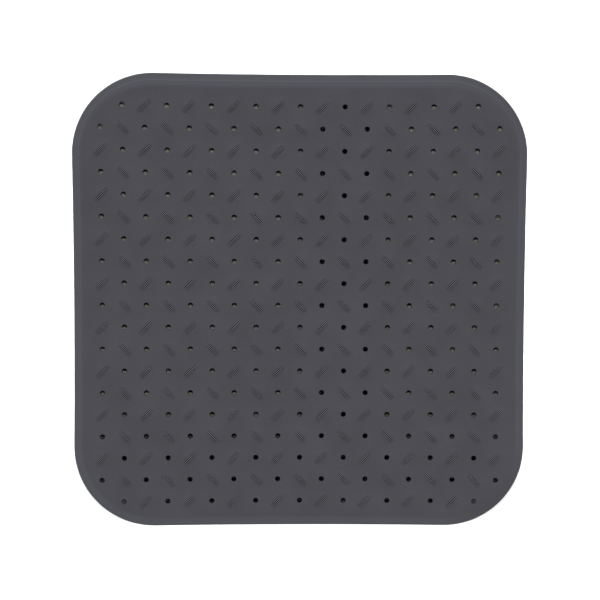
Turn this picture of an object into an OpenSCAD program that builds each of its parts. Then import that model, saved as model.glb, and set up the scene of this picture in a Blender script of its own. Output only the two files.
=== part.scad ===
// Square perforated rubber anti-slip mat: a thin sheet with a bevelled rim, staggered drain
// holes, diagonal grip treads on low domes above, and a suction cup below every tread.
// +Z is up, the suction cups' lips rest on z = 0, and the origin is the middle of the outline.

/* [Mat] */
// Width and depth of the mat across its corners' widest points
mat_size = 542; // [500:1:600]
// Radius of each rounded corner
corner_r = 96; // [70:1:110]
// Radius of the long, slightly hollow arc along each side
side_r = 11779; // [8000:1:20000]
// Width of the bevelled band round the edge
rim_w = 9; // [6:0.5:14]
// Thickness of the perforated sheet
sheet_t = 2.4; // [1.8:0.1:4]
// Thickness of the rim at its outer edge
rim_edge_t = 1.4; // [0.8:0.1:1.6]
// Thickness of the rim where it meets the sheet
rim_inner_t = 1.9; // [1.7:0.1:2.2]

/* [Pattern] */
// Places in each row and column of the pattern
sites = 19; // [15:2:19]
// Distance from one place to the next
pitch = 26.2; // [24:0.1:27]
// How far the pattern sits from the middle of the mat, towards the rear when positive
pattern_shift = -4; // [-6:0.5:6]
// Share by which the pattern and the outline spread from the mat's waist towards its corners
corner_spread = 0.011; // [0:0.001:0.015]
// Diameter of a drain hole
hole_d = 6; // [4:0.5:10]

/* [Treads] */
// Length of a tread's ribs
rib_l = 23; // [16:0.5:28]
// Width of one rib
rib_w = 1.2; // [0.8:0.1:1.6]
// Distance from one rib to the next
rib_pitch = 1.95; // [1.8:0.05:2.6]
// Ribs in each tread
rib_count = 3; // [2:1:4]
// Height of a rib's crest above the sheet, at the rib's middle
crest_h = 1.4; // [1:0.1:2]
// Height of the low dome under each tread
dome_h = 0.5; // [0.3:0.1:1]
// Diameter of that dome at its foot
dome_d = 25; // [22:0.5:30]
// Diameter of the dome's flat middle
dome_top_d = 12; // [8:0.5:16]

/* [Suction cups] */
// Diameter of a cup at its lip
cup_d = 22; // [18:0.5:26]
// Height of a cup from its lip to the sheet
cup_h = 5; // [4:0.25:8]
// Diameter of a cup's neck
neck_d = 9; // [7:0.5:11]
// Length of the straight part of the neck
neck_h = 0.9; // [0.5:0.1:1.5]
// Height of the hollow inside a cup
hollow_h = 2.3; // [1.5:0.1:3]
// Diameter of the flat roof of that hollow
hollow_top_d = 5; // [3:0.5:6]
// Width of the flat ring that touches the floor
lip_w = 0.9; // [0.6:0.1:1.5]
// Thickness of the cup's wall at the lip
lip_t = 0.4; // [0.3:0.1:0.8]

/* [Hidden] */
$fn = 72;
// The long side arcs are almost straight, so they need many more steps.
side_fn = 2880;
half = mat_size / 2;
// Each corner is a quarter circle about (corner_c, corner_c). The right side's arc joins the ends
// of two of them, so its centre is (side_c, 0), and half of it spans side_angle.
corner_c = half - corner_r;
side_c = half + sqrt(pow(side_r, 2) - pow(corner_c, 2));
side_angle = asin(corner_c / side_r);
// A rib's crest is an arc through both of its ends and its top.
crest_r = (pow(rib_l / 2, 2) + pow(crest_h, 2)) / (2 * crest_h);
crest_fn = 360;
// Heights of the sheet's underside and top
under_z = cup_h;
top_z = cup_h + sheet_t;
middle = (sites - 1) / 2;
last = sites - 1;
tread_names = [for (row = [0 : last]) str("tread_row_", row < 9 ? "0" : "", row + 1)];
cup_names = [for (row = [0 : last]) str("suction_cup_row_", row < 9 ? "0" : "", row + 1)];

function is_odd(n) = n % 2 == 1;

// Drain holes take every second place, like the dark squares of a chessboard.
function is_hole(row, col) = is_odd(row + col);

// The four corner places hold neither a hole nor a tread.
function is_corner(row, col) = (row == 0 || row == last) && (col == 0 || col == last);

function is_tread(row, col) = !is_hole(row, col) && !is_corner(row, col);

// The pattern spreads a little towards the corners, as the outline does.
function spread(x, y) = [
    x * (1 + corner_spread * pow(y / half, 2)),
    y * (1 + corner_spread * pow(x / half, 2))
];

// Where a place of the pattern lies. Row 0 is the rear one, and column 0 the left one.
function place(row, col) = spread((col - middle) * pitch, (middle - row) * pitch + pattern_shift);

// The plan of the mat, drawn in by inset all round.
module outline(inset) {
    reach = corner_r - inset;
    far = half - inset;
    difference() {
        polygon([
            [far, -corner_c],
            [far, corner_c],
            [corner_c, far],
            [-corner_c, far],
            [-far, corner_c],
            [-far, -corner_c],
            [-corner_c, -far],
            [corner_c, -far]
        ]);
        for (turn = [0 : 90 : 270])
            rotate(turn)
                translate([side_c, 0])
                    circle(r = side_r + inset, $fn = side_fn);
    }
    for (turn = [0 : 90 : 270])
        rotate(turn)
            translate([corner_c, corner_c])
                circle(r = reach);
}

module mat_sheet() {
    color("#4f4e54")
        translate([0, 0, under_z])
            linear_extrude(sheet_t)
                difference() {
                    outline(rim_w);
                    for (row = [0 : last], col = [0 : last])
                        if (is_hole(row, col))
                            translate(place(row, col))
                                circle(d = hole_d, $fn = 32);
                }
}

// The rim's cross-section, from the outer edge at x = 0 inwards along +X
module rim_section() {
    polygon([
        [0, 0],
        [rim_w, 0],
        [rim_w, rim_inner_t],
        [0, rim_edge_t]
    ]);
}

module rim_corner() {
    translate([corner_c, corner_c])
        rotate_extrude(angle = 90)
            translate([corner_r, 0])
                mirror([1, 0])
                    rim_section();
}

// The arc runs a little past both corners, where it is cut off square.
module rim_side() {
    intersection() {
        translate([side_c, 0])
            rotate(180 - 1.1 * side_angle)
                rotate_extrude(angle = 2.2 * side_angle, $fn = side_fn)
                    translate([side_r, 0])
                        rim_section();
        translate([half - 2 * rim_w, -corner_c, 0])
            cube([3 * rim_w, 2 * corner_c, 2 * rim_inner_t]);
    }
}

module rim_band() {
    color("#56555b")
        translate([0, 0, under_z])
            for (turn = [0 : 90 : 270])
                rotate(turn) {
                    rim_corner();
                    rim_side();
                }
}

// A rib lies along +X. Its crest is an arc that comes down to the sheet at both ends.
module rib() {
    rotate([90, 0, 0])
        linear_extrude(rib_w, center = true)
            intersection() {
                translate([0, crest_h - crest_r])
                    circle(r = crest_r, $fn = crest_fn);
                translate([-rib_l / 2, 0])
                    square([rib_l, crest_h]);
            }
}

// One tread: ribs side by side on a low dome
module tread() {
    cylinder(h = dome_h, d1 = dome_d, d2 = dome_top_d);
    for (side = [0 : rib_count - 1])
        translate([0, (side - (rib_count - 1) / 2) * rib_pitch, 0])
            rib();
}

// Treads in even rows lean one way, and treads in odd rows the other.
module tread_row(row) {
    color("#494850")
        for (col = [0 : last])
            if (is_tread(row, col))
                translate([place(row, col).x, place(row, col).y, top_z])
                    rotate(is_odd(row) ? -45 : 45)
                        tread();
}

module suction_cup() {
    rotate_extrude()
        polygon([
            [0, cup_h],
            [neck_d / 2, cup_h],
            [neck_d / 2, cup_h - neck_h],
            [cup_d / 2, lip_t],
            [cup_d / 2, 0],
            [cup_d / 2 - lip_w, 0],
            [hollow_top_d / 2, hollow_h],
            [0, hollow_h]
        ]);
}

module cup_row(row) {
    color("#434248")
        for (col = [0 : last])
            if (is_tread(row, col))
                translate(place(row, col))
                    suction_cup();
}

mat_sheet();
rim_band();
for (row = [0 : last]) {
    tread_row(row);
    cup_row(row);
}
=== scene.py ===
"""A square perforated rubber anti-slip mat, seen from almost straight above.

The sheet, rim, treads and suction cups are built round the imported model, in its frame and in
metres.
"""

import math

import bpy
import numpy as np
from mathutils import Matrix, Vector
from mathutils.geometry import delaunay_2d_cdt


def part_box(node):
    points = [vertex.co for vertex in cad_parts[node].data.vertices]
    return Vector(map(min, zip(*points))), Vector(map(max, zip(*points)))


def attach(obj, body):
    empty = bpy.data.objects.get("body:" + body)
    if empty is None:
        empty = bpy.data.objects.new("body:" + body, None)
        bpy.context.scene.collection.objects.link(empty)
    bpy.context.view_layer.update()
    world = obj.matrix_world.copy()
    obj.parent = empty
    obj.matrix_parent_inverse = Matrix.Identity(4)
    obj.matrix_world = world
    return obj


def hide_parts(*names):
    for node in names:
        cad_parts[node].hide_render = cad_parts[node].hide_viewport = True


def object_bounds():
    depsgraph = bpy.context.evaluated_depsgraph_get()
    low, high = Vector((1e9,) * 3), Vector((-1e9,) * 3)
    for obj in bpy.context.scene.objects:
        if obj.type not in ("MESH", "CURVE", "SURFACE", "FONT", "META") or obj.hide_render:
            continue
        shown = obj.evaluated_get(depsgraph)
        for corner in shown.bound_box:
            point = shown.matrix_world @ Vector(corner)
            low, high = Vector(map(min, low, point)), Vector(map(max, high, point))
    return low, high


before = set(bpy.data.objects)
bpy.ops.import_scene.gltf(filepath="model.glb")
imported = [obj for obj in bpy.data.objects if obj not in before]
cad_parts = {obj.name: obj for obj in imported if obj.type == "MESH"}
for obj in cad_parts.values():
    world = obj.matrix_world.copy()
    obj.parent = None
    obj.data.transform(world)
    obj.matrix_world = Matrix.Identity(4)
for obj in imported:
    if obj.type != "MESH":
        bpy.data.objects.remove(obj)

MM = 0.001

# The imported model's own measures
CAD_LOW, CAD_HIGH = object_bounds()
UNDER_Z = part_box("mat_sheet")[0].z
TOP_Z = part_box("mat_sheet")[1].z
HALF = CAD_HIGH.x
CREST_H = CAD_HIGH.z - TOP_Z

# The plan, as the design has it
CORNER_R = 96 * MM
SIDE_R = 11779 * MM
RIM_W = 9 * MM
CORNER_C = HALF - CORNER_R
SIDE_C = HALF + math.sqrt(SIDE_R**2 - CORNER_C**2)

# The pattern, as the design has it
SITES = 19
PITCH = 26.2 * MM
PATTERN_SHIFT = -4 * MM
CORNER_SPREAD = 0.011
HOLE_R = 3 * MM
CUP_R = 11 * MM
NECK_R = 4.5 * MM
LIP_W = 0.9 * MM
HOLLOW_H = 2.3 * MM
RIB_L = 23 * MM
RIB_W = 1.2 * MM
RIB_PITCH = 1.95 * MM
RIB_COUNT = 3

# Soft shapes that only the visual model has
DOME_R = 13 * MM
DOME_H = 0.65 * MM
EDGE_R = 0.3 * MM
LEDGE_W = 2.4 * MM
LEDGE_RISE_W = 6 * MM
LEDGE_DROP = 0.25 * MM
RIM_DROP = 0.35 * MM
GROOVE_H = 0.03 * MM
TREAD_SINK = 0.15 * MM
LIP_R = 0.25 * MM

# How finely round shapes are divided
SIDE_STEPS = 96
CORNER_STEPS = 40
HOLE_STEPS = 28
NECK_STEPS = 12
DOME_SPACING = 1.6 * MM
TREAD_STATIONS = 18
CUP_STEPS = 40
CUP_WALL_STEPS = 8
NOSE_STEPS = 8

# A rib's cross-section, as (offset in half widths, share of the crest's height)
RIB_PROFILE = (
    (-1.15, 0.0), (-1.0, 0.45), (-0.75, 0.85), (-0.36, 1.0),
    (0.36, 1.0), (0.75, 0.85), (1.0, 0.45), (1.15, 0.0),
)
# The tone at each of those points, for the left, the middle and the right rib of a tread.
# It is -1 for painted shade deep in a groove, 0 where the colour is the sheet's, and 1 for a
# painted highlight on a crest. The right rib's outer foot takes a painted shadow at -0.8.
RIB_SHADE_AND_HIGHLIGHT = (
    (0.0, 0.0, 0.0, 0.0, 1.0, -1.0, -1.0, -1.0),
    (-1.0, -1.0, -1.0, 1.0, 1.0, -1.0, -1.0, -1.0),
    (-1.0, -1.0, -1.0, 1.0, 0.0, 0.0, -0.8, -0.8),
)

# Colours of the rubber. Those in pairs are the dark and the light parts of its clouds.
SHEET_COLOURS = (0.0685, 0.0665, 0.0765), (0.0815, 0.0795, 0.0925)
RIM_COLOURS = (0.084, 0.087, 0.101), (0.091, 0.094, 0.109)
CUP_COLOURS = (0.060, 0.058, 0.067), (0.070, 0.068, 0.078)
RIM_MEAN = tuple((dark + light) / 2 for dark, light in zip(*RIM_COLOURS))
# Painted highlight along the rim's rear inner edge.
RIM_PAINTED_HIGHLIGHT = (0.102, 0.105, 0.121)
# Painted shade on the rim's right corners.
RIM_PAINTED_SHADE = (0.075, 0.073, 0.085)
# Near-black painted shade, for the treads' grooves and the sheet's hole walls.
PAINTED_SHADE_COLOUR = (0.003, 0.003, 0.004)
# Painted highlight on the treads' crests.
CREST_PAINTED_HIGHLIGHT = (0.225, 0.220, 0.245)


# Plan


def circle(centre, radius, steps, turn=0.0):
    """Points round a circle, turned on by a share of one step."""
    angles = [math.tau * (i + turn) / steps for i in range(steps)]
    return [(centre[0] + radius * math.cos(a), centre[1] + radius * math.sin(a)) for a in angles]


def arc(centre, radius, start, end, steps):
    """Points of an arc from start to end, in degrees, both ends included."""
    angles = np.radians(np.linspace(start, end, steps + 1))
    return [(centre[0] + radius * math.cos(a), centre[1] + radius * math.sin(a)) for a in angles]


def quarter_turns(x, y, turns):
    """The point turned about the middle by that many quarter turns."""
    for _ in range(turns):
        x, y = -y, x
    return x, y


def outline(inset):
    """Points round the mat's plan, drawn in by inset, anticlockwise."""
    side_r = SIDE_R + inset
    reach = math.degrees(math.asin(CORNER_C / side_r))
    side = arc((SIDE_C, 0), side_r, 180 + reach, 180 - reach, SIDE_STEPS)
    corner = arc((CORNER_C, CORNER_C), CORNER_R - inset, 0, 90, CORNER_STEPS)
    quarter = side[:-1] + corner[:-1]
    return [quarter_turns(x, y, turns) for turns in range(4) for x, y in quarter]


def place(row, col):
    """Where a place of the pattern lies. Row 0 is the rear one, and column 0 the left one."""
    middle = (SITES - 1) / 2
    x = (col - middle) * PITCH
    y = (middle - row) * PITCH + PATTERN_SHIFT
    return x * (1 + CORNER_SPREAD * (y / HALF) ** 2), y * (1 + CORNER_SPREAD * (x / HALF) ** 2)


def is_hole(row, col):
    return (row + col) % 2 == 1


def is_tread(row, col):
    at_corner = row in (0, SITES - 1) and col in (0, SITES - 1)
    return not is_hole(row, col) and not at_corner


def places(wanted):
    """Every place of the pattern for which wanted(row, col) holds."""
    sites = range(SITES)
    return [place(row, col) for row in sites for col in sites if wanted(row, col)]


def row_places(row):
    """The places in one row that have a tread above and a suction cup below."""
    return [place(row, col) for col in range(SITES) if is_tread(row, col)]


# Pieces


def link(name, data):
    """A new object in the scene."""
    made = bpy.data.objects.new(name, data)
    bpy.context.scene.collection.objects.link(made)
    return made


def add_piece(name, node, material, mesh_parts, sharp_angle=40):
    """Makes a smooth-shaded piece from (verts, faces, tones), which stands for that CAD node."""
    verts, faces, tones = mesh_parts
    mesh = bpy.data.meshes.new(name)
    mesh.from_pydata(verts, [], faces)
    mesh.validate()
    mesh.attributes.new("tone", "FLOAT", "POINT").data.foreach_set("value", tones)
    mesh.shade_smooth()
    mesh.set_sharp_from_angle(angle=math.radians(sharp_angle))
    mesh.materials.append(material)
    piece = link(name, mesh)
    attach(piece, "root")
    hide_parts(node)


def ring_faces(a, b, around, flipped=False):
    """Faces between two rings of points, given each ring's first point."""
    faces = []
    for j in range(around):
        k = (j + 1) % around
        face = (a + j, a + k, b + k, b + j) if flipped else (a + j, b + j, b + k, a + k)
        faces.append(face)
    return faces


def joined(parts):
    """One (verts, faces, tones) from several."""
    verts, faces, tones = [], [], []
    for part_verts, part_faces, part_tones in parts:
        shift = len(verts)
        verts += part_verts
        faces += [tuple(i + shift for i in face) for face in part_faces]
        tones += part_tones
    return verts, faces, tones


# The perforated sheet


class Surface:
    """A surface seen from above: points with heights and tones, and loops that bound it."""

    def __init__(self):
        self.points = []
        self.heights = []
        self.tones = []
        self.edges = []
        self.loops = []
        self.loop_of = []

    def add(self, points, height, closed=False, tone=0.0):
        """Points at one height, with one tone for all of them or a list with one for each."""
        first = len(self.points)
        self.points += points
        self.heights += [height] * len(points)
        self.tones += tone if isinstance(tone, list) else [tone] * len(points)
        self.loop_of += [len(self.loops) if closed else -1] * len(points)
        if closed:
            ids = list(range(first, len(self.points)))
            self.loops.append(ids)
            self.edges += list(zip(ids, ids[1:] + ids[:1]))

    def triangles(self):
        """Triangles between all the points, apart from those that span a loop."""
        flat = [Vector(p) for p in self.points]
        output_type, merge_distance = 0, 1e-9
        found = delaunay_2d_cdt(flat, self.edges, [], output_type, merge_distance)
        _, _, faces, sources, _, _ = found
        kept = []
        for face in faces:
            a, b, c = (sources[i][0] for i in face)
            if not self.loop_of[a] == self.loop_of[b] == self.loop_of[c] != -1:
                kept.append((a, b, c))
        return kept

    def verts(self):
        return [(x, y, z) for (x, y), z in zip(self.points, self.heights)]


def dome(distance):
    """Height of the soft dome over a suction cup, at a distance from its middle."""
    share = np.minimum(np.asarray(distance) / DOME_R, 1)
    return DOME_H * (1 - share**2) ** 2


def painted_rear_highlight_share(x, y):
    """How much of a painted highlight a point takes along the rear: 1 along the rear side, falling
    to 0 round both rear corners.
    """
    if y < CORNER_C:
        return 0.0
    steepness = 4
    beyond = max(0.0, abs(x) - CORNER_C)
    return ((y - CORNER_C) / math.hypot(beyond, y - CORNER_C)) ** steepness


def right_corner_painted_shade_share(x, y):
    """Painted shade round the right corners: 1 in the middle of the front right corner, 0.5 in the
    rear right one's, 0 at their ends.
    """
    beyond_x, beyond_y = max(0.0, x - CORNER_C), max(0.0, abs(y) - CORNER_C)
    reach = beyond_x**2 + beyond_y**2
    most = 0.5 if y > 0 else 1.0
    return most * 2 * beyond_x * beyond_y / reach if reach else 0.0


def ledge_tones(points, inset):
    """How far the sheet takes on the rim's colour: a narrow fade, and a wider one at the rear,
    which is a painted highlight.

    Both are weaker round the right corners, as painted shade.
    """
    insets = np.array((9.0, 10.0, 11.4, 12.0, 12.6, 13.4, 14.5, 15.9, 17.4)) * MM
    plain = float(np.interp(inset, insets, (0.5, 0.25, 0.1, 0.05, 0, 0, 0, 0, 0)))
    # The wider fade along the rear is a painted highlight.
    rear = float(np.interp(inset, insets, (0.7, 0.7, 0.9, 1.0, 0.85, 0.65, 0.45, 0.2, 0)))
    return [
        (plain + (rear - plain) * painted_rear_highlight_share(x, y)) * (1 - right_corner_painted_shade_share(x, y))
        for x, y in points
    ]


def add_hole_edge(top, centre):
    """A hole's rounded edge, darkened with painted shade, and a flat ring round it."""
    top.add(circle(centre, HOLE_R, HOLE_STEPS), TOP_Z - EDGE_R, closed=True, tone=-0.9)
    for bend, tone in ((25, -0.6), (55, -0.15), (90, 0.0)):
        radius = HOLE_R + EDGE_R * (1 - math.cos(math.radians(bend)))
        drop = EDGE_R * (1 - math.sin(math.radians(bend)))
        top.add(circle(centre, radius, HOLE_STEPS, 0.5), TOP_Z - drop, tone=tone)
    top.add(circle(centre, HOLE_R + 3 * EDGE_R, HOLE_STEPS), TOP_Z)


def add_dome(top, centre):
    """Rings of a dome, every second one turned by half a step."""
    fewest_steps, step_length = 8, 1.25 * DOME_SPACING
    top.add([centre], TOP_Z + DOME_H)
    rings = round(DOME_R / DOME_SPACING)
    for ring in range(1, rings + 1):
        radius = DOME_R * ring / rings
        steps = max(fewest_steps, round(math.tau * radius / step_length))
        top.add(circle(centre, radius, steps, 0.5 * (ring % 2)), TOP_Z + float(dome(radius)))


def sheet_top():
    """The tread side: flat, with domes over the cups, round hole edges, and a ledge by the rim."""
    top = Surface()
    for centre in places(is_hole):
        add_hole_edge(top, centre)
    for centre in places(is_tread):
        add_dome(top, centre)
    edge = outline(RIM_W)
    top.add(edge, TOP_Z - RIM_DROP, closed=True, tone=ledge_tones(edge, RIM_W))
    for share in (0, 0.05, 0.12, 0.22, 0.35, 0.52, 0.75, 1):
        inset = RIM_W + LEDGE_W + LEDGE_RISE_W * share
        ring = outline(inset)
        top.add(ring, TOP_Z - LEDGE_DROP * (1 - share) ** 2.5, tone=ledge_tones(ring, inset))
    return top


def sheet_underside():
    under = Surface()
    for centre in places(is_hole):
        # The hole's lower edge is darkened with painted shade too.
        under.add(circle(centre, HOLE_R, HOLE_STEPS), UNDER_Z, closed=True, tone=-1.0)
        under.add(circle(centre, HOLE_R + EDGE_R, HOLE_STEPS, 0.5), UNDER_Z)
    for centre in places(is_tread):
        under.add(circle(centre, NECK_R, NECK_STEPS), UNDER_Z)
    under.add(outline(RIM_W), UNDER_Z, closed=True)
    return under


def add_sheet(material):
    """The perforated sheet as one closed skin."""
    top, under = sheet_top(), sheet_underside()
    verts = top.verts() + under.verts()
    shift = len(top.points)
    faces = top.triangles()
    faces += [(c + shift, b + shift, a + shift) for a, b, c in under.triangles()]
    for high, low in zip(top.loops, under.loops):
        low = [i + shift for i in low]
        outer = high is top.loops[-1]
        for i in range(len(high)):
            j = (i + 1) % len(high)
            wall = (high[i], high[j], low[j], low[i])
            faces.append(wall[::-1] if outer else wall)
    skin = verts, faces, top.tones + under.tones
    add_piece("perforated_sheet", "mat_sheet", material, skin)


# The rim


def rim_section():
    """The rim's cross-section as (inset, height): from the ledge outwards, round and back under."""
    ledge_z = TOP_Z - RIM_DROP
    band_w, band_z = 8.0 * MM, UNDER_Z + 1.95 * MM
    edge_w, edge_z = 0.8 * MM, UNDER_Z + 1.4 * MM
    nose_r = 0.55 * MM
    foot_w = 1.5 * MM
    section = []
    for share in (0, 0.15, 0.3, 0.5, 0.7, 0.85, 1):
        ease = share * share * (3 - 2 * share)
        section.append((RIM_W - (RIM_W - band_w) * share, ledge_z + (band_z - ledge_z) * ease))
    for share in (0.88, 0.74, 0.58, 0.4, 0.2):
        section.append((edge_w + (band_w - edge_w) * share, edge_z + (band_z - edge_z) * share**2))
    section.append((edge_w, edge_z))
    section += arc((nose_r, UNDER_Z + nose_r), nose_r, 110, 260, NOSE_STEPS)
    section += [(foot_w, UNDER_Z), (RIM_W, UNDER_Z)]
    return section


def add_rim(material):
    """The bevelled band as a loft round the mat.

    Its tones draw a painted highlight along the rear inner edge, and painted shade on the right
    corners.
    """
    highlight_from, highlight_to = 7.5 * MM, 8.9 * MM
    verts, tones = [], []
    for inset, z in rim_section():
        lit = 1.0 if z > UNDER_Z and highlight_from < inset < highlight_to else 0.0
        ring = outline(inset)
        verts += [(x, y, z) for x, y in ring]
        tones += [lit * painted_rear_highlight_share(x, y) - right_corner_painted_shade_share(x, y) for x, y in ring]
    around = len(ring)
    faces = []
    for start in range(0, len(verts), around):
        faces += ring_faces(start, (start + around) % len(verts), around)
    add_piece("bevelled_rim", "rim_band", material, (verts, faces, tones))


# Treads


def tread_section():
    """Across a tread, as (offset, share of the crest's height, tone): ribs with grooves between."""
    section = [(-RIB_PITCH * RIB_COUNT / 2, 0.0, 0.0)]
    for i, tones in enumerate(RIB_SHADE_AND_HIGHLIGHT):
        middle = (i - (RIB_COUNT - 1) / 2) * RIB_PITCH
        for (side, share), tone in zip(RIB_PROFILE, tones):
            section.append((middle + side * RIB_W / 2, share, tone))
        # The groove after each rib but the last takes painted shade.
        beside = 0.0 if i == RIB_COUNT - 1 else -1.0
        section.append((middle + RIB_PITCH / 2, 0.0, beside))
    return section


def patch_border(across):
    """The numbers of the points round a tread's patch of stations by across points."""
    border = [i * across for i in range(TREAD_STATIONS + 1)]
    border += [TREAD_STATIONS * across + j for j in range(1, across)]
    border += [i * across + across - 1 for i in range(TREAD_STATIONS - 1, -1, -1)]
    border += list(range(across - 2, 0, -1))
    return border


def tread_mesh(centre, angle):
    """One tread: a patch of crowned ribs and grooves, with walls and a floor set into the sheet."""
    half_l = RIB_L / 2
    cos, sin = math.cos(angle), math.sin(angle)
    section = tread_section()
    across = len(section)
    verts, faces, tones = [], [], []
    for i in range(TREAD_STATIONS + 1):
        along = -half_l * math.cos(math.pi * i / TREAD_STATIONS)
        crown = 1 - (along / half_l) ** 2
        for offset, share, tone in section:
            surface = TOP_Z + float(dome(math.hypot(along, offset)))
            proud = GROOVE_H + max(0.0, TOP_Z + CREST_H * crown - surface - GROOVE_H) * share
            x, y = along * cos - offset * sin, along * sin + offset * cos
            verts.append((centre[0] + x, centre[1] + y, surface + proud))
            tones.append(tone * crown)
    for i in range(TREAD_STATIONS):
        for j in range(across - 1):
            a, b = i * across + j, (i + 1) * across + j
            faces.append((a, b, b + 1, a + 1))
    border = patch_border(across)
    first = len(verts)
    verts += [(verts[i][0], verts[i][1], TOP_Z - TREAD_SINK) for i in border]
    tones += [0.0] * len(border)
    for i in range(len(border)):
        j = (i + 1) % len(border)
        faces.append((first + i, first + j, border[j], border[i]))
    faces.append(tuple(range(first, first + len(border)))[::-1])
    return verts, faces, tones


def add_tread_row(row, material):
    """Even rows lean one way, and odd rows the other."""
    angle = math.radians(-45 if row % 2 else 45)
    node = f"tread_row_{row + 1:02d}"
    treads = joined([tread_mesh(centre, angle) for centre in row_places(row)])
    add_piece(f"ribbed_{node}", node, material, treads, sharp_angle=60)


# Suction cups


def cup_section():
    """A cup's cross-section as (radius, height): from the hollow's roof round to the neck."""
    hollow_r = CUP_R - LIP_W
    wall_r, wall_z, wall_h = CUP_R - 0.2 * MM, 0.5 * MM, 3.6 * MM
    fillet_w = (0.1 * MM, 0.5 * MM, 1.1 * MM)
    fillet_z = (4.6 * MM, UNDER_Z - 0.05 * MM, UNDER_Z + 0.05 * MM)
    shares = [i / CUP_WALL_STEPS for i in range(1, CUP_WALL_STEPS + 1)]
    section = [(hollow_r * share, HOLLOW_H * (1 - share**2.2)) for share in shares]
    section.append((CUP_R - LIP_R, 0.0))
    section += arc((CUP_R - LIP_R, LIP_R), LIP_R, -50, 60, 3)
    for share in shares:
        section.append((wall_r + (NECK_R - wall_r) * share**0.85, wall_z + wall_h * share**1.6))
    section += [(NECK_R + width, z) for width, z in zip(fillet_w, fillet_z)]
    return section


def cup_mesh(centre):
    """One suction cup, turned about the axis through centre, with its top closed in the sheet."""
    verts = [(centre[0], centre[1], HOLLOW_H)]
    for radius, z in cup_section():
        verts += [(x, y, z) for x, y in circle(centre, radius, CUP_STEPS)]
    faces = [(0, 1 + (j + 1) % CUP_STEPS, 1 + j) for j in range(CUP_STEPS)]
    last = len(verts) - CUP_STEPS
    for start in range(1, last, CUP_STEPS):
        faces += ring_faces(start, start + CUP_STEPS, CUP_STEPS, flipped=True)
    faces.append(tuple(range(last, len(verts))))
    return verts, faces, [0.0] * len(verts)


def add_cup_row(row, material):
    node = f"suction_cup_row_{row + 1:02d}"
    cups = joined([cup_mesh(centre) for centre in row_places(row)])
    add_piece(f"soft_{node}", node, material, cups)


# Materials


class Shader:
    """A node tree that is built one node at a time."""

    # Most of a noise's values lie between these two.
    NOISE_SPAN = (0.3, 0.7)

    def __init__(self, name):
        self.material = bpy.data.materials.new(name)
        self.material.use_nodes = True
        self.tree = self.material.node_tree
        self.bsdf = self.tree.nodes["Principled BSDF"]

    def node(self, kind, inputs=(), **settings):
        made = self.tree.nodes.new(kind)
        for key, value in settings.items():
            setattr(made, key, value)
        for key, value in dict(inputs).items():
            self.set(made.inputs[key], value)
        return made

    def set(self, socket, value):
        if isinstance(value, bpy.types.NodeSocket):
            self.tree.links.new(value, socket)
        else:
            socket.default_value = value

    def set_surface(self, inputs):
        for key, value in inputs.items():
            self.set(self.bsdf.inputs[key], value)

    def map_range(self, value, source, target=(0.0, 1.0)):
        """The value, spread from the source span to the target span."""
        ends = {"From Min": source[0], "From Max": source[1]}
        ends |= {"To Min": target[0], "To Max": target[1]}
        return self.node("ShaderNodeMapRange", {"Value": value, **ends}).outputs["Result"]

    def noise(self, scale, detail, stretch=(1, 1, 1)):
        """Noise over the mat's frame, whose features are about 1 / scale metres wide."""
        coords = self.node("ShaderNodeTexCoord").outputs["Object"]
        mapping = self.node("ShaderNodeMapping", {"Vector": coords, "Scale": stretch})
        inputs = {"Vector": mapping.outputs["Vector"], "Scale": scale, "Detail": detail}
        return self.node("ShaderNodeTexNoise", inputs).outputs["Fac"]

    def clouds(self, scale, detail):
        """Noise spread from 0 to 1."""
        return self.map_range(self.noise(scale, detail), self.NOISE_SPAN)

    def mix(self, factor, first, second):
        mixer = self.node("ShaderNodeMix", data_type="RGBA")
        self.set(mixer.inputs["Factor"], factor)
        self.set(mixer.inputs["A"], (*first, 1) if isinstance(first, tuple) else first)
        self.set(mixer.inputs["B"], (*second, 1) if isinstance(second, tuple) else second)
        return mixer.outputs["Result"]

    def bump(self, height, strength, distance, below=None):
        """The normal of a bumpy surface, on top of the bumps below if there are any."""
        inputs = {"Height": height, "Strength": strength, "Distance": distance}
        if below:
            inputs["Normal"] = below
        return self.node("ShaderNodeBump", inputs).outputs["Normal"]


def rubber(name, colours, roughness, grain, gloss, low=None, high=None):
    """Moulded rubber: cloudy colour, fine specks, faint rubbed streaks, and a fine grain.

    The piece's tone draws the colour towards low where it is negative, and high where positive.
    Low is painted shade. High is a painted highlight, and on the sheet it is the rim's colour,
    faded in plainly at the edge and as a painted highlight along the rear.
    """
    speck_share, roughness_spread = 0.4, 0.05
    shader = Shader(name)
    base = shader.mix(shader.clouds(scale=22, detail=4), *colours)
    specks = shader.mix(shader.clouds(scale=900, detail=2), *colours)
    colour = shader.mix(speck_share, base, specks)
    if low and high:
        tone = shader.node("ShaderNodeAttribute", attribute_name="tone").outputs["Fac"]
        colour = shader.mix(shader.map_range(tone, (0.0, -1.0)), colour, low)
        colour = shader.mix(shader.map_range(tone, (0.0, 1.0)), colour, high)
    rubbed = shader.noise(scale=40, detail=3, stretch=(1, 0.5, 1))
    fine = shader.bump(shader.noise(scale=1700, detail=3), grain, 0.25 * MM)
    soft = shader.bump(shader.noise(scale=160, detail=2), 0.25, 0.05 * MM, below=fine)
    roughnesses = (roughness - roughness_spread, roughness + roughness_spread)
    shader.set_surface({
        "Base Color": colour,
        "Roughness": shader.map_range(rubbed, shader.NOISE_SPAN, roughnesses),
        "Normal": soft,
        "Specular IOR Level": gloss,
    })
    return shader.material


def floor_white():
    """A matt white, very slightly uneven."""
    shader = Shader("white_floor")
    colour = shader.mix(shader.clouds(scale=3, detail=2), (0.9, 0.9, 0.9), (0.88, 0.88, 0.88))
    shader.set_surface({"Base Color": colour, "Roughness": 0.9, "Specular IOR Level": 0.2})
    return shader.material


# Stage


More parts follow.
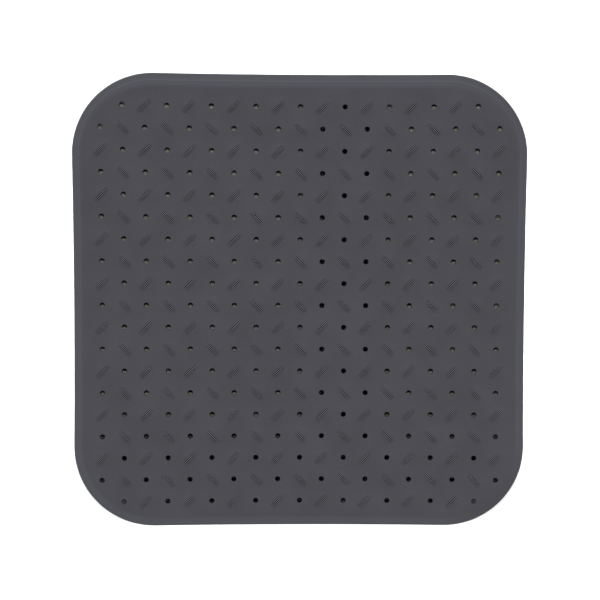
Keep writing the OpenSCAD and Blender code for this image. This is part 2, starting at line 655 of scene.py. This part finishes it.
def add_board(name, left, right, front, rear, z):
    """A level white board, or the floor."""
    mesh = bpy.data.meshes.new(name)
    corners = [(left, front, z), (right, front, z), (right, rear, z), (left, rear, z)]
    mesh.from_pydata(corners, [], [(0, 1, 2, 3)])
    mesh.materials.append(floor_white())
    board = link(name, mesh)
    return board


def add_flag():
    """A narrow unseen board, whose shadow in the lamp's light lies just right of the middle."""
    flag = add_board("flag", left=-0.0130, right=0.0137, front=0.27, rear=0.46, z=0.87)
    flag.visible_camera = False
    flag.visible_glossy = False


def add_sun(name, zenith_angle, azimuth, width, strength):
    """A light from far off, so many degrees wide, which isn't mirrored.

    Azimuth 0 is the rear, and 90 the right.
    """
    data = bpy.data.lights.new(name, "SUN")
    data.angle = math.radians(width)
    data.energy = strength
    sun = link(name, data)
    sun.rotation_euler = (math.radians(-zenith_angle), 0, math.radians(-azimuth))
    sun.visible_glossy = False
    return sun


def add_lamp():
    """A small warm lamp behind the mat, as high as the camera.

    The edge of its light falls across the front rows.
    """
    half_cone = 80
    edge_angle = 29.9
    data = bpy.data.lights.new("lamp", "SPOT")
    data.spot_size = math.radians(2 * half_cone)
    data.spot_blend = 0.06
    data.shadow_soft_size = 0.007
    data.energy = 9.2
    data.color = (1.0, 0.99, 0.82)
    lamp = link("lamp", data)
    lamp.location = (-0.02, 0.504, 1.21)
    lamp.rotation_euler = (math.radians(half_cone - edge_angle), 0, 0)
    return lamp


def light_floor_only(floor, lights):
    """Keeps the lights off everything but the floor, which the mat still shades."""
    receivers = bpy.data.collections.new("floor_only")
    receivers.objects.link(floor)
    for light in lights:
        light.light_linking.receiver_collection = receivers


def add_world():
    """A white studio, dark straight overhead, which is seen and mirrored but lights nothing."""
    dark_cap, cap_edge = 52, 70
    world = bpy.data.worlds.new("studio")
    world.use_nodes = True
    tree = world.node_tree
    background = tree.nodes["Background"]
    coords = tree.nodes.new("ShaderNodeTexCoord")
    split = tree.nodes.new("ShaderNodeSeparateXYZ")
    ramp = tree.nodes.new("ShaderNodeMapRange")
    ramp.interpolation_type = "SMOOTHSTEP"
    ramp.inputs["From Min"].default_value = math.cos(math.radians(cap_edge))
    ramp.inputs["From Max"].default_value = math.cos(math.radians(dark_cap))
    ramp.inputs["To Min"].default_value = 1.0
    ramp.inputs["To Max"].default_value = 0.0
    tree.links.new(coords.outputs["Generated"], split.inputs["Vector"])
    tree.links.new(split.outputs["Z"], ramp.inputs["Value"])
    tree.links.new(ramp.outputs["Result"], background.inputs["Strength"])
    background.inputs["Color"].default_value = (1, 1, 1, 1)
    world.cycles_visibility.diffuse = False
    bpy.context.scene.world = world


def add_camera():
    """The camera stands almost straight above the middle, with the rear edge up."""
    data = bpy.data.cameras.new("camera")
    data.sensor_width = 36
    data.lens = 60.28
    camera = link("camera", data)
    camera.location = (-21 * MM, 65 * MM, TOP_Z + 1.2)
    camera.rotation_euler = [math.radians(angle) for angle in (-2.98, -0.99, 0.19)]
    bpy.context.scene.camera = camera


def add_stage():
    """The key and the fills light everything. Four low suns and the lamp light only the floor."""
    fill_azimuths = (90, 180, 270)
    floor_reach = 4.0
    add_world()
    add_sun("key", zenith_angle=58, azimuth=-2, width=20, strength=3.45)
    for azimuth in fill_azimuths:
        add_sun(f"fill_{azimuth}", zenith_angle=58, azimuth=azimuth, width=30, strength=0.78)
    floor_lights = [
        add_sun(f"floor_{azimuth}", zenith_angle=66, azimuth=azimuth, width=4, strength=2.9)
        for azimuth in (0, *fill_azimuths)
    ]
    add_flag()
    floor_lights.append(add_lamp())
    floor = add_board("floor", -floor_reach, floor_reach, -floor_reach, floor_reach, 0.0)
    light_floor_only(floor, floor_lights)
    bpy.context.scene.view_settings.view_transform = "Standard"


def add_mat():
    """All the pieces. Low tones paint shade into the sheet's holes, and high ones fade its edge
    into the rim's colour, with a painted highlight along the rear.
    """
    rim_finish = {"roughness": 0.45, "grain": 0.25, "gloss": 0.35}
    sheet_finish = {"roughness": 0.6, "grain": 0.5, "gloss": 0.3, "low": PAINTED_SHADE_COLOUR}
    cup_finish = {"roughness": 0.4, "grain": 0.15, "gloss": 0.5}
    rim_rubber = rubber("rim_rubber", RIM_COLOURS, **rim_finish, low=RIM_PAINTED_SHADE, high=RIM_PAINTED_HIGHLIGHT)
    sheet_rubber = rubber("sheet_rubber", SHEET_COLOURS, **sheet_finish, high=RIM_MEAN)
    tread_rubber = rubber("tread_rubber", SHEET_COLOURS, **sheet_finish, high=CREST_PAINTED_HIGHLIGHT)
    cup_rubber = rubber("cup_rubber", CUP_COLOURS, **cup_finish)
    add_sheet(sheet_rubber)
    add_rim(rim_rubber)
    for row in range(SITES):
        add_tread_row(row, tread_rubber)
        add_cup_row(row, cup_rubber)


add_camera()
add_stage()
add_mat()
